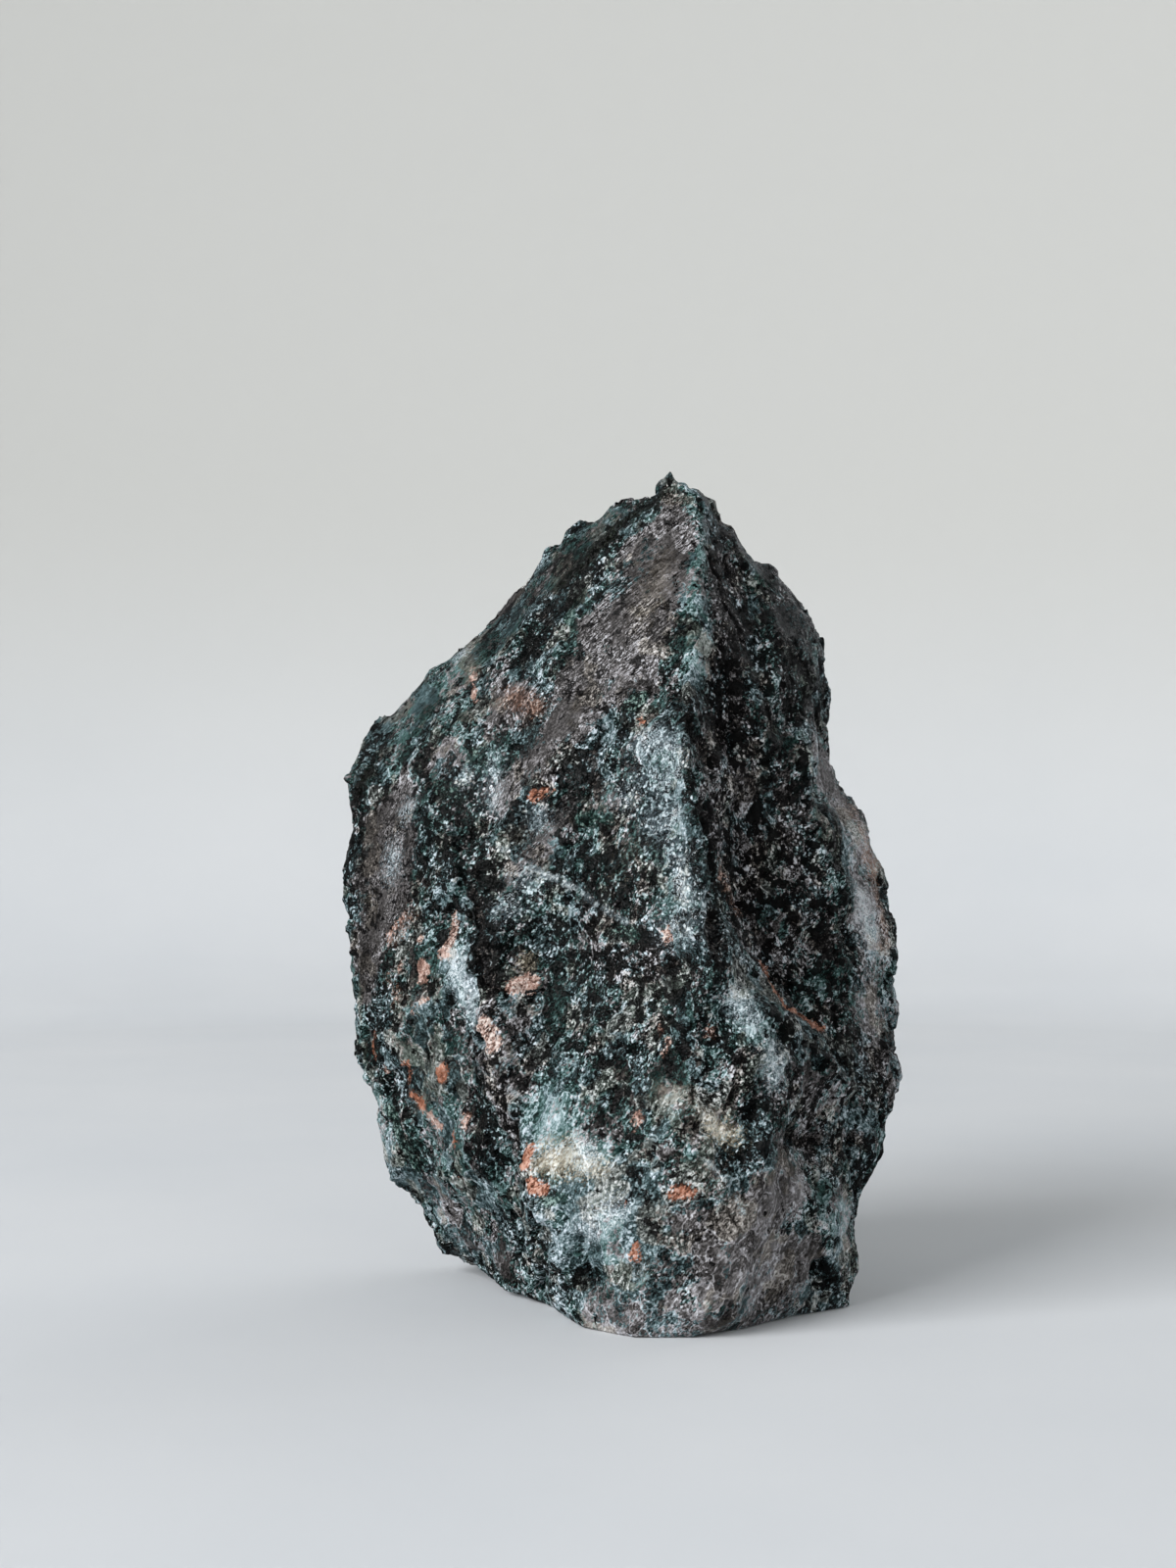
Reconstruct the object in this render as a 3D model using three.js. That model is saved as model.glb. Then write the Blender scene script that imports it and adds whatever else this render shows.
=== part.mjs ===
// A hand-sized specimen of massive green apatite: one stone with a rough broken skin, a pointed top,
// two smooth cleavage faces and a small flat underneath, on which it stands.
// Millimetres. x runs to the right, y to the back and z up, and the broken front looks along -y.
import * as THREE from "three";
import { ConvexHull } from "three/addons/math/ConvexHull.js";
import { ImprovedNoise } from "three/addons/math/ImprovedNoise.js";

// The stone's size, and a point well inside it that sees the whole skin.
const WIDTH = 85;
const DEPTH = 67;
const HEIGHT = 123;
const HEART = new THREE.Vector3(0, 2, 52);

// How finely the skin is cut into triangles.
const SKIN_POINTS = 4300;
const BODY_STEP = 5; // between the points of an edge in the plain body
const EDGE_STEP = 2.4; // between the points of an edge in the skin
const EDGE_MARGIN = 1.7; // what an edge point keeps free round itself

// The broken relief of the skin: broad swellings, and scooped chips that each lie at their own slope.
const SWELL_SIZE = 13;
const SWELL_HEIGHT = 1.1;
const CHIP_SIZE = 8;
const CHIP_SLOPE = 0.42;
const CHIP_SCOOP = 0.075; // how fast a chip rises from its middle, per millimetre
const CHIP_MEAN = 0.3; // the mean height of the chips, which is taken off
const CHIP_LEAN = new THREE.Vector3(0.45, -0.2, 0.87).normalize(); // the grain's direction
const CHIP_STRETCH = 0.55; // a chip is longer along the grain
const SMOOTH_RELIEF = 0.12; // what is left of the relief on a cleavage face
const SMOOTH_SHARE = 0.7; // the share of a cleavage face's radius over which it is quite smooth
const GROUND_FADE = 4; // the relief dies out over this height above the flat
const RANDOM_SEED = 11;

// The sharp edges, each as a line of points [x, y, z].
const EDGES = {
  // The pointed top with its small nub, and the spine that comes down the front from it.
  nub: [[6, -2, 121.8], [7.5, -2, 123], [8.5, -2, 121.5]],
  spine: [
    [8.5, -3, 120.5], [11, -5, 118.5], [11.5, -9, 110.5], [11, -13, 103], [10, -17, 95.5], [9.5, -21, 90],
    [8.5, -24, 81.5], [10, -26, 73.5], [11, -29, 63], [11, -31, 54.5], [12.5, -31, 49.5],
  ],
  // The spine turns right into the ledge over the lower bulge.
  ledge: [[12.5, -31, 49.5], [17.5, -29, 46.5], [23.5, -25, 42.5], [29.5, -19, 37.5], [34, -12, 32]],
  // The upper cleavage face lies between these two and the spine.
  cleavageLeft: [[6.5, -1.5, 120.5], [-0.5, -3, 111], [-3.5, -5, 105], [-6, -7, 99], [-10.5, -10, 89.5]],
  cleavageFoot: [[11, -13, 103], [6, -14.5, 99], [1.5, -16, 90.5], [-3.5, -15, 86], [-8.5, -13, 83]],
  // The crest of the long upper left slope.
  crest: [[5, 0, 120.5], [-5, 6, 113], [-17, 12, 102.5], [-23, 14, 98], [-30.5, 16, 91.5], [-35, 17, 86]],
  // The ridge between the left face and the front face.
  leftRidge: [
    [-34, 12, 83.5], [-30.5, 4, 79.5], [-28, -2, 71.5], [-22.5, -10, 62], [-20, -15, 47],
    [-17, -18, 35.5], [-15, -19, 27.5],
  ],
  // The broken corner at the right end of the lower bulge.
  lowerCorner: [[31, -14, 18], [30.5, -15, 12.5], [29.5, -15.5, 9]],
  // The back: a ridge down its middle, a corner on each side, and a ledge across its right half.
  backRidge: [
    [7, 4, 119], [5, 13, 110], [3, 22, 96], [-1, 29, 78], [-3, 33, 60], [0, 34, 42], [4, 30, 20],
    [5, 24, 3],
  ],
  backLedge: [[-3, 33, 60], [10, 32, 62], [22, 28, 66], [33, 22, 64]],
  backCornerRight: [[21, 11, 104], [28, 17, 84], [33, 22, 64], [37, 20, 46], [34, 17, 24], [30, 12, 3]],
  backCornerLeft: [
    [-38, 24, 82], [-39, 27, 68], [-38, 27, 50], [-34, 28, 33], [-28, 27, 14], [-18, 24, 2],
  ],
  // The rim of the flat.
  foot: [
    [-10.5, -8.5, 0], [-9, -14, 0], [-5.5, -24, 0], [1.5, -30, 0], [9, -30, 0], [17.5, -24, 0],
    [24.5, -16.5, 0], [33.5, -10, 0], [31, 5, 0], [19, 14, 0], [3, 18, 0], [-12, 12, 0], [-10.5, -8.5, 0],
  ],
};

// Single points that say how the faces between the edges run.
const FACE_POINTS = {
  outlineTopRight: [[13, -2, 118.5], [16.5, -1, 116], [18.5, 0, 114], [19.5, 2, 111.5], [23.5, 5, 108.5]],
  outlineShoulder: [
    [26.5, 6, 106], [30.5, 8, 102], [32, 9, 98], [32, 9, 91.5], [32, 8, 88.5], [31, 7, 86],
  ],
  outlineRight: [
    [31.5, 7, 81.5], [34, 7, 76.5], [36.5, 7, 71], [39.5, 7, 64], [42.5, 6, 55.5], [42.5, 4, 49],
    [43, 3, 43.5], [42, 2, 39], [40.5, 0, 34], [41, -2, 28], [39, -1, 22.5], [35.5, -3, 13.5],
    [34, -6, 7], [34, -9, 2],
  ],
  outlineTopLeft: [
    [2.5, 4, 121.5], [-2, 8, 119], [-6, 11, 116], [-11, 14, 111.5], [-16, 17, 107], [-20.5, 19, 102.5],
    [-25.5, 20, 97.5], [-32, 21, 91], [-39.5, 22, 84.5],
  ],
  outlineLeft: [
    [-40, 18, 82.5], [-41.5, 14, 75.5], [-41, 13, 71], [-43.5, 13, 63.5], [-42, 12, 55.5], [-41, 10, 43],
    [-40, 8, 33.5], [-37.5, 9, 27], [-35.5, 10, 18.5], [-32, 13, 12], [-30.5, 14, 8.5], [-20, 22, 2],
  ],
  // The left part of the underside hangs a little over the ground.
  overhang: [[-28, 14, 3], [-25, 12, 2], [-22, 10, 1.5], [-19, 3, 1.2], [-16, -4, 1], [-12.5, -8, 0.3]],
  stepUnderCleavage: [[7.5, -18, 89.5], [3, -14, 87.5], [-2, -13.5, 83.5]],
  shoulder: [
    [19, -4, 99], [23, -2, 102], [26.5, 0, 98], [24, -6, 93.5], [20, -9, 90.5], [27.5, -2, 89],
    [22.5, -8, 85.5],
  ],
  hollow: [
    [15, -4, 111], [15, -8, 102], [15.5, -12, 90], [16.5, -14, 80], [18, -14, 69], [18.5, -13, 57.5],
    [20.5, -12, 50], [24.5, -11, 45],
  ],
  rightRidge: [[23, -8, 80.5], [28, -8, 70.5], [31, -8, 60], [32.5, -7, 52.5], [34, -6, 46]],
  stepByLeftRidge: [
    [-22, -5, 66], [-20, -7, 60], [-18.5, -9, 54.5], [-17.5, -11, 47.5], [-15.5, -14, 41.5],
  ],
  front: [
    [-16, -10, 71.5], [-10.5, -12.5, 76], [-5, -14.5, 79.5], [2, -18.5, 81.5], [-10.5, -12, 64.5],
    [1, -19.5, 67.5], [-10.5, -14.5, 53.5], [1.5, -22.5, 55.5], [-9.5, -18, 41], [-0.5, -24, 42],
    [7.5, -30, 41],
  ],
  bulge: [
    [-5, -25, 35], [2.5, -29, 31.5], [8.5, -33, 22.5], [17.5, -29, 33], [24, -25, 33.5], [-13, -23, 24.5],
    [-13, -25, 16.5], [-6, -30, 18], [2, -33, 10.5], [15.5, -32, 12], [19.5, -31, 22.5], [-10, -24, 9],
    [-7.5, -19, 1.5],
  ],
  lowerRight: [
    [32, -12, 29.5], [36.5, -6, 31.5], [33.5, -10, 24], [26.5, -17, 25], [23, -25, 23.5], [26, -22, 16],
    [26, -19, 6], [33, -10.5, 13], [32.5, -11, 7],
  ],
  leftFace: [
    [-34.5, 5, 68.5], [-36.5, 6, 61], [-29.5, -3, 54.5], [-35, 2, 46.5], [-25, -9, 46], [-34, 0, 35],
    [-22.5, -10.5, 36], [-28, -5.5, 32.5], [-23.5, -5, 18], [-19.5, -3, 8], [-15.5, -9, 11.5],
  ],
  backFaces: [
    [-19, 26, 85], [-21, 29, 58], [-18, 29, 36], [-12, 27, 14], [12, 17, 98], [8, 27, 68], [19, 24, 71],
    [28, 18, 73], [19, 29, 42], [20, 25, 20],
  ],
  aroundNub: [[7.5, 1, 121.5], [7, -3.5, 121]],
  flat: [[7, -6, 0]],
};

// The smooth cleavage faces, each reaching so far round its middle.
const CLEAVAGE_FACES = [
  { middle: [2, -9, 104], radius: 15 },
  { middle: [-34, 3, 58], radius: 25 },
  { middle: [-26, 28, 62], radius: 22 },
];

// Cracks, pits and holes run from one point to the other and are so wide and deep.
const HOLLOWS = [
  { from: [-15.3, -24, 16], to: [-11.6, -25, 9], radius: 3, depth: 3.2 },
  { from: [-11.6, -24, 9], to: [-11.2, -20, 3], radius: 2.8, depth: 2.6 },
  { from: [-6, -30, 14], to: [-4.8, -31, 7.5], radius: 2.6, depth: 1.6 },
  { from: [1.8, -33, 12], to: [1.8, -33, 8.5], radius: 2.8, depth: 1.5 },
  { from: [27.5, -17, 6], to: [28.5, -16, 5], radius: 3.2, depth: 2 },
  { from: [23, -23, 26.5], to: [27, -20, 25.5], radius: 3.2, depth: 2 },
  { from: [34, -11, 25], to: [35.5, -9, 23.5], radius: 3, depth: 1.6 },
  { from: [7.2, -23, 90], to: [7.6, -23, 87], radius: 2.8, depth: 1.8 },
  { from: [16, -13, 92], to: [17.5, -14, 60], radius: 5, depth: 1.6 },
  { from: [-20, 29, 30], to: [-8, 31, 38], radius: 4, depth: 2 },
  { from: [14, 30, 54], to: [30, 24, 40], radius: 4.5, depth: 1.8 },
];

const vector = (point) => new THREE.Vector3(...point);
const directionTo = (point) => point.clone().sub(HEART).normalize();

// Triangles over points that the heart sees: the hull of their directions gives the neighbours.
function skinOver(points) {
  const directions = points.map(directionTo);
  const numbers = new Map(directions.map((direction, i) => [direction, i]));
  const hull = new ConvexHull().setFromPoints(directions);
  return hull.faces.map(({ edge }) => {
    return [edge, edge.next, edge.next.next].map((side) => numbers.get(side.head().point));
  });
}

// Points along a line: its own corners, and between them even steps no longer than the one given.
function alongLine(line, longestStep) {
  const corners = line.map(vector);
  const rest = corners.slice(1).flatMap((end, i) => {
    const count = Math.ceil(corners[i].distanceTo(end) / longestStep);
    return Array.from({ length: count }, (_, k) => corners[i].clone().lerp(end, (k + 1) / count));
  });
  return [corners[0], ...rest];
}

// The plain body: large flat triangles between the edges and the single points.
function plainBody() {
  const edgePoints = Object.values(EDGES).flatMap((line) => alongLine(line, BODY_STEP));
  const corners = edgePoints.concat(Object.values(FACE_POINTS).flat().map(vector));
  return skinOver(corners).map((face) => face.map((i) => corners[i]));
}

// Where a ray from the heart leaves the body.
function pointOn(body, direction) {
  const ray = new THREE.Ray(HEART, direction);
  const hit = new THREE.Vector3();
  const found = body.some(([a, b, c]) => ray.intersectTriangle(a, b, c, false, hit));
  if (!found) throw new Error("the body has a hole");
  return hit;
}

// Directions spread evenly over the stone: a spiral on a sphere, stretched to the stone's size.
function evenDirections(count) {
  const turn = Math.PI * (3 - Math.sqrt(5));
  const stretch = new THREE.Vector3(WIDTH, DEPTH, HEIGHT);
  return Array.from({ length: count }, (_, i) => {
    const z = 1 - (2 * i + 1) / count;
    const r = Math.sqrt(1 - z * z);
    return new THREE.Vector3(r * Math.cos(turn * i), r * Math.sin(turn * i), z).multiply(stretch).normalize();
  });
}

// A place with its distances along the grain shortened, in which round chips are long ones.
function alongGrain(point) {
  return point.clone().addScaledVector(CHIP_LEAN, -CHIP_STRETCH * point.dot(CHIP_LEAN));
}

// The chips: points scattered through the stone and round it, each with the slope of the chip there.
function scatterChips() {
  THREE.MathUtils.seededRandom(RANDOM_SEED);
  const random = () => THREE.MathUtils.seededRandom() - 0.5;
  const space = new THREE.Vector3(WIDTH, DEPTH, HEIGHT).addScalar(2 * CHIP_SIZE);
  const count = Math.round((space.x * space.y * space.z) / CHIP_SIZE ** 3);
  return Array.from({ length: count }, () => {
    const place = new THREE.Vector3(random(), random(), random()).multiply(space);
    place.z += HEIGHT / 2;
    const slope = new THREE.Vector3(random(), random(), random()).multiplyScalar(2 * CHIP_SLOPE);
    return { middle: alongGrain(place), slope };
  });
}

const chips = scatterChips();
const noise = new ImprovedNoise();

// How far the relief lifts the skin at a place, before it dies out on smooth faces and near the ground.
function brokenRelief(point) {
  const place = alongGrain(point);
  const heights = chips.map(({ middle, slope }) => {
    const away = place.clone().sub(middle);
    return slope.dot(away) + CHIP_SCOOP * away.lengthSq();
  });
  const { x, y, z } = point.clone().divideScalar(SWELL_SIZE);
  return SWELL_HEIGHT * noise.noise(x, y, z) + Math.min(...heights) - CHIP_MEAN;
}

// How rough the skin is at a place: 1 on broken rock, little on a cleavage face.
function roughness(point) {
  const amounts = CLEAVAGE_FACES.map(({ middle, radius }) => {
    return THREE.MathUtils.smoothstep(vector(middle).distanceTo(point), SMOOTH_SHARE * radius, radius);
  });
  return Math.max(SMOOTH_RELIEF, Math.min(...amounts));
}

// How deep the cracks, pits and holes go at a place.
function hollowDepth(point) {
  const depths = HOLLOWS.map(({ from, to, radius, depth }) => {
    const axis = new THREE.Line3(vector(from), vector(to));
    const distance = axis.closestPointToPoint(point, true, new THREE.Vector3()).distanceTo(point);
    return depth * (1 - THREE.MathUtils.smoothstep(distance, 0, radius));
  });
  return Math.max(...depths);
}

// A point of the plain body moved in or out to where the broken skin is.
function weathered(point) {
  const lift = roughness(point) * brokenRelief(point) - hollowDepth(point);
  const fade = THREE.MathUtils.smoothstep(point.z, 0, GROUND_FADE);
  const moved = point.clone().addScaledVector(directionTo(point), fade * lift);
  return moved.setZ(Math.max(0, moved.z));
}

function stoneGeometry() {
  const body = plainBody();
  const edges = Object.values(EDGES).flatMap((line) => alongLine(line, EDGE_STEP));
  const faces = evenDirections(SKIN_POINTS)
    .map((direction) => pointOn(body, direction))
    .filter((point) => edges.every((edgePoint) => edgePoint.distanceTo(point) > EDGE_MARGIN));
  const points = faces.concat(edges.map((point) => pointOn(body, directionTo(point))));
  const triangles = skinOver(points);
  const geometry = new THREE.BufferGeometry().setFromPoints(points.map(weathered)).setIndex(triangles.flat());
  geometry.computeBoundingBox();
  const middle = geometry.boundingBox.getCenter(new THREE.Vector3());
  return geometry.translate(-middle.x, -middle.y, 0);
}

const stone = new THREE.Mesh(
  stoneGeometry(),
  new THREE.MeshStandardMaterial({ color: 0x3c4a48, roughness: 0.62, metalness: 0 }),
);
stone.name = "apatite_stone";

const specimen = new THREE.Group();
specimen.add(stone);

export default specimen;
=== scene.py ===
# The looks of a hand-sized specimen of massive green apatite: its broken skin, its mottled rock with
# pale needles and salmon grains, and a plain studio round it.
# The rock is worked out in millimetres and handed over in metres. x runs right, y back and z up.
import math

import bmesh
import bpy
import numpy as np
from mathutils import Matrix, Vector
from mathutils.bvhtree import BVHTree


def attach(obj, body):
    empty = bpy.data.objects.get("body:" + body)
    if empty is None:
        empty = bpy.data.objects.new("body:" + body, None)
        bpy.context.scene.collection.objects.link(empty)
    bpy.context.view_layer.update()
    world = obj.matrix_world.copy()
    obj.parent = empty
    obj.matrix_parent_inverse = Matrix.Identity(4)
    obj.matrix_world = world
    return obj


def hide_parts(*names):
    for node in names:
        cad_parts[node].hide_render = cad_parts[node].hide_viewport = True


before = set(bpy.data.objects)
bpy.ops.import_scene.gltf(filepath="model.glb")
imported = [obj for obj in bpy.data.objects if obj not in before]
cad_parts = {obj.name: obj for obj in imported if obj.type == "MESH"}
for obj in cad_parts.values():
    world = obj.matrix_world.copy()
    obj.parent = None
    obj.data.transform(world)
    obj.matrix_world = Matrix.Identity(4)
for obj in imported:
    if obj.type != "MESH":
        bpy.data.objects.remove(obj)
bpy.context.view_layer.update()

NODE = "apatite_stone"
METRES = 0.001  # in one millimetre

# The photograph's frame in pixels, and its level camera.
PHOTO_WIDTH = 1200
PHOTO_HEIGHT = 1600
FOCAL_PIXELS = 2500
SENSOR = 36
EYE = np.array([-4.2, -367.1, 76.0])

# The skin's mesh.
SPLITS = 3  # how often each edge is halved
MOST_TRIANGLES = 194000
ROUNDING = 4  # smoothing passes over the whole skin
CLEAVAGE_ROUNDING = 90  # passes on the cleavage faces
GROUND_FADE = 3.0  # the fine relief dies out over this height above the flat

# The broken relief: layers of scooped flakes, each lying at its own slope. All lengths in millimetres.
GRAIN = np.array([0.45, -0.2, 0.87])  # the direction that the flakes are long in
GRAIN_STRETCH = 0.6
GRAIN_BEND = {"size": 2.5, "reach": 0.5, "seeds": (51, 52, 53)}
FLAKES = [
    {"size": 4.2, "slope": 0.17, "scoop": 0.03, "seed": 1},
    {"size": 1.1, "slope": 0.3, "scoop": 0.14, "seed": 3},
]
BLOCKS = [
    {"size": 3.4, "height": 0.34, "gap": 0.4, "gap_depth": 0.25, "seed": 4},
    {"size": 1.7, "height": 0.2, "gap": 0.3, "gap_depth": 0.15, "seed": 5},
]
LEDGE_WAVES = [(8.0, 1.6), (2.6, 0.5)]  # the sizes and heights of the waves in the ledges' lines
LEDGE_BREAK = 0.82  # the share of a ledge's width at which it breaks off
LEDGE_MIDDLE = 0.4
LEDGE_LENGTH = 3.5  # how many pitches long a ledge is
LEDGES = {"pitch": 3.1, "height": 0.42, "across": (0.83, 0.35, -0.43), "seed": 21}
SWELL = {"size": 9.0, "height": 0.25, "seed": 7}
PIT = {"size": 4.2, "share": 0.2, "radius": 0.85, "depth": 0.8, "seed": 9}
STRIATION_PITCH = 1.15
STRIATION_HEIGHT = 0.09
STRIATION_ACROSS = np.array([0.86, 0.1, -0.5])
STRIATION_BENDS = [(3.5, 0.5, 31)]  # size, height and seed
STRIATION_FADE = (5.0, 32)  # size and seed
SMOOTH_RELIEF = 0.14  # what is left of the flakes on a cleavage face

# Where a share that runs smoothly from whole to none begins and ends, in millimetres outside a stroke. For
# the unseen sides it runs from none to whole, as the skin turns to the back.
CLEAVAGE_BORDER = (-0.8, 0.8)
ZONE_BORDER = (-1.9, 2.3)
CUT_BORDER = (-0.6, 0.7)
RIDGE_BORDER = (0, 2.4)
UNSEEN_BORDER = (-0.1, 0.3)

# Layers of soft noise, each with its size, height and seed. They make the zones' borders ragged, and vary
# the share of pale flecks outside the zones and on the unseen sides.
RAGGED_BORDERS = [(5.0, 1.9, 41), (1.8, 1.0, 42)]
REST_LIGHT = 0.36
REST_LIGHTS = [(14.0, 0.12, 43), (5.0, 0.08, 44)]
UNSEEN_LIGHTS = [(11.0, 0.24, 46), (4.2, 0.14, 47)]
UNSEEN_LIFT = 0.1

# Patches outside the zones: mauve ones all round, and on the unseen sides cleavage faces, which are mauve
# too, and dull patches.
REST_MAUVE = 0.1
MAUVE_RANGE = 0.5
MAUVE_PATCHES = {"size": 18.0, "seed": 45, "low": 0.1, "high": 0.6}
UNSEEN_FACES = {"size": 21.0, "seed": 72, "low": 0.22, "high": 0.34}
UNSEEN_MAUVE = {**UNSEEN_FACES, "low": 0.2}
DULLNESS = 0.5
DULL_PATCHES = {"size": 12.0, "seed": 48, "low": 0.0, "high": 0.4}

# Strokes over the photograph: each point is a pixel with the stroke's half width there.
CLEAVAGE = {
    "upper face": [(694, 518, 14), (672, 566, 42), (655, 612, 50), (620, 676, 48), (580, 730, 26)],
    "strip below it": [(556, 756, 18), (533, 788, 22), (512, 816, 14)],
    "left face": [(408, 818, 22), (398, 862, 46), (392, 905, 44), (380, 950, 26), (372, 1010, 13)],
    "striated band": [(592, 790, 6), (572, 830, 12), (545, 868, 14), (520, 895, 9)],
    "edge of the slope": [(626, 528, 19), (564, 594, 23), (504, 652, 25), (450, 702, 27), (402, 748, 22)],
    "rim of the slope": [(634, 520, 13), (590, 546, 18), (560, 574, 18), (514, 626, 18), (466, 672, 20),
                         (434, 697, 20), (398, 736, 18)],
    "edge of the right face": [(838, 778, 12), (862, 822, 16), (884, 874, 16)],
}

# Zones of the rock, each laid over those before it: the stroke, and then, from 0 to 1, its share of pale
# flecks, how mauve it is, how much its flecks stand out, and how broken its relief is.
ZONES = {
    "upper left slope": ([(640, 510, 14), (560, 590, 26), (480, 680, 30), (400, 760, 30)],
            0.36, 0.2, 0.8, 0.6),
    "dark band beside the cleavage": ([(640, 530, 12), (590, 600, 22), (545, 660, 26)], 0.1, 0.1, 1.0, 0.8),
    "outline of the slope": ([(636, 518, 10), (560, 588, 16), (478, 670, 18)], 0.16, 0.4, 0.6, 0.2),
    "lower outline": ([(478, 672, 18), (440, 708, 18), (410, 734, 14)], 0.46, 0.2, 0.6, 0.3),
    "left corner": ([(380, 760, 22), (372, 800, 20)], 0.18, 0.1, 1.0, 1.0),
    "left middle": ([(440, 780, 24), (470, 820, 26), (480, 860, 20)], 0.17, 0.1, 0.9, 0.9),
    "grey lens": ([(452, 774, 16)], 0.5, 0.8, 0.6, 0.5),
    "pink lens": ([(515, 718, 20), (545, 722, 16)], 0.42, 0.9, 0.6, 0.5),
    "upper cleavage": (CLEAVAGE["upper face"], 0.37, 1.0, 1.0, 0.1),
    "cleavage strip": (CLEAVAGE["strip below it"], 0.38, 1.0, 0.85, 0.1),
    "left cleavage": (CLEAVAGE["left face"], 0.22, 1.0, 0.8, 0.15),
    "striated band": (CLEAVAGE["striated band"], 0.3, 0.7, 0.9, 0.3),
    "top of the spine": ([(704, 500, 6), (716, 540, 7), (715, 620, 12), (706, 690, 14)],
            0.48, 0.1, 0.8, 0.7),
    "right of the spine": ([(738, 540, 14), (745, 620, 24), (735, 700, 26), (740, 760, 26)],
            0.18, 0.6, 1.2, 0.75),
    "right shoulder": ([(790, 590, 24), (815, 650, 24), (815, 710, 22)], 0.0, 0.2, 1.1, 0.5),
    "edge of the shoulder": ([(752, 552, 13), (790, 592, 16), (824, 642, 16), (836, 700, 14)],
            0.1, 0.3, 1.0, 0.3),
    "hollow": ([(735, 780, 26), (750, 860, 34), (760, 950, 34), (790, 990, 22)], 0.42, 0.6, 1.5, 1.0),
    "hollow's right": ([(800, 790, 24), (815, 870, 26), (820, 960, 24)], 0.34, 0.5, 1.3, 1.0),
    "right face": ([(834, 765, 16), (875, 850, 24), (890, 950, 24), (890, 1040, 20)], 0.7, 0.6, 0.8, 0.5),
    "upper right face": ([(838, 775, 14), (862, 822, 14)], 0.52, 0.8, 0.5, 0.35),
    "pale spine": ([(640, 745, 22), (672, 770, 26), (660, 830, 26), (694, 880, 20), (702, 930, 14)],
            0.46, 0.0, 0.9, 1.0),
    "left of the spine": ([(600, 800, 22), (600, 860, 26), (620, 930, 26)], 0.15, 0.1, 0.9, 1.0),
    "glitter": ([(610, 978, 16), (670, 978, 18)], 0.42, 0.6, 1.8, 1.0),
    "shadow band": ([(492, 890, 14), (494, 950, 16), (500, 1010, 14)], 0, 0.2, 1.0, 1.0),
    "front": ([(560, 930, 24), (570, 1000, 34), (620, 1060, 40), (700, 1060, 34)], 0.33, 0.1, 1.0, 1.0),
    "ground of the salmon": ([(420, 960, 22), (430, 1040, 30), (465, 1100, 26)], 0.34, 0.3, 0.6, 0.8),
    "white crystals": ([(468, 975, 9), (476, 1000, 11), (484, 1035, 10)], 0.74, 0.0, 0.9, 1.0),
    "ledge": ([(740, 1020, 18), (775, 1060, 20), (795, 1095, 16)], 0.6, 0.0, 1.1, 0.9),
    # painted highlight: the ledge's edge where it catches the light, on a pale crystal
    "white spot": ([(784, 1078, 4), (788, 1094, 6)], 0.95, 0.0, 0.8, 0.8),
    "lower left": ([(430, 1080, 30), (450, 1150, 34), (480, 1220, 30)], 0.41, 0.15, 0.5, 0.8),
    "dark mauve band": ([(500, 1100, 10), (526, 1160, 11)], 0.2, 0.9, 0.8, 0.7),
    "dark grains": ([(494, 1125, 14), (500, 1180, 14)], 0.16, 0.1, 1.0, 1.0),
    "left edge": ([(384, 1115, 10), (392, 1160, 13), (412, 1205, 12)], 0.7, 0.1, 0.35, 0.4),
    "lower left edge": ([(450, 1220, 14), (470, 1265, 18), (510, 1290, 16)], 0.52, 0.6, 0.5, 0.6),
    "pale bulge": ([(560, 1130, 26), (590, 1190, 44), (590, 1250, 40), (640, 1280, 36)],
            0.64, 0.0, 0.62, 0.7),
    "middle of the bulge": ([(660, 1130, 34), (700, 1180, 34), (680, 1240, 26)], 0.27, 0.2, 0.55, 0.7),
    "dark right of the bulge": ([(800, 1110, 24), (850, 1120, 24), (820, 1160, 26), (868, 1168, 14)],
            0.46, 0.5, 1.0, 1.0),
    "round the mauve": ([(800, 1180, 40), (720, 1270, 60), (800, 1310, 50)], 0.47, 0.5, 0.55, 0.6),
    "mauve lower right": ([(812, 1215, 30), (750, 1280, 40), (810, 1290, 36)], 0.55, 0.9, 0.35, 0.5),
    "purple patch": ([(705, 1252, 10), (738, 1250, 10)], 0.42, 1.0, 0.6, 0.5),
    "tan rise": ([(690, 1118, 10), (722, 1140, 11), (748, 1160, 11)], 0.66, 0.3, 0.5, 0.7),
    "right foot": ([(862, 1230, 16), (858, 1290, 16)], 0.86, 0.3, 0.4, 0.5),
    "foot": ([(620, 1335, 24), (700, 1345, 22), (760, 1345, 14)], 0.62, 0.7, 0.35, 0.5),
}

# The flakes lean to the left in these strokes and to the right elsewhere, as seen in the photograph.
LEFT_LEANING = {
    "hollow": [(745, 560, 30), (750, 760, 50), (770, 900, 60), (790, 980, 40)],
    "right face": [(850, 800, 40), (890, 950, 40), (880, 1100, 40)],
    "ledge": [(700, 990, 30), (760, 1060, 40), (810, 1110, 30)],
    "lower left": [(400, 1060, 50), (440, 1150, 60), (490, 1250, 40)],
}
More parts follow.
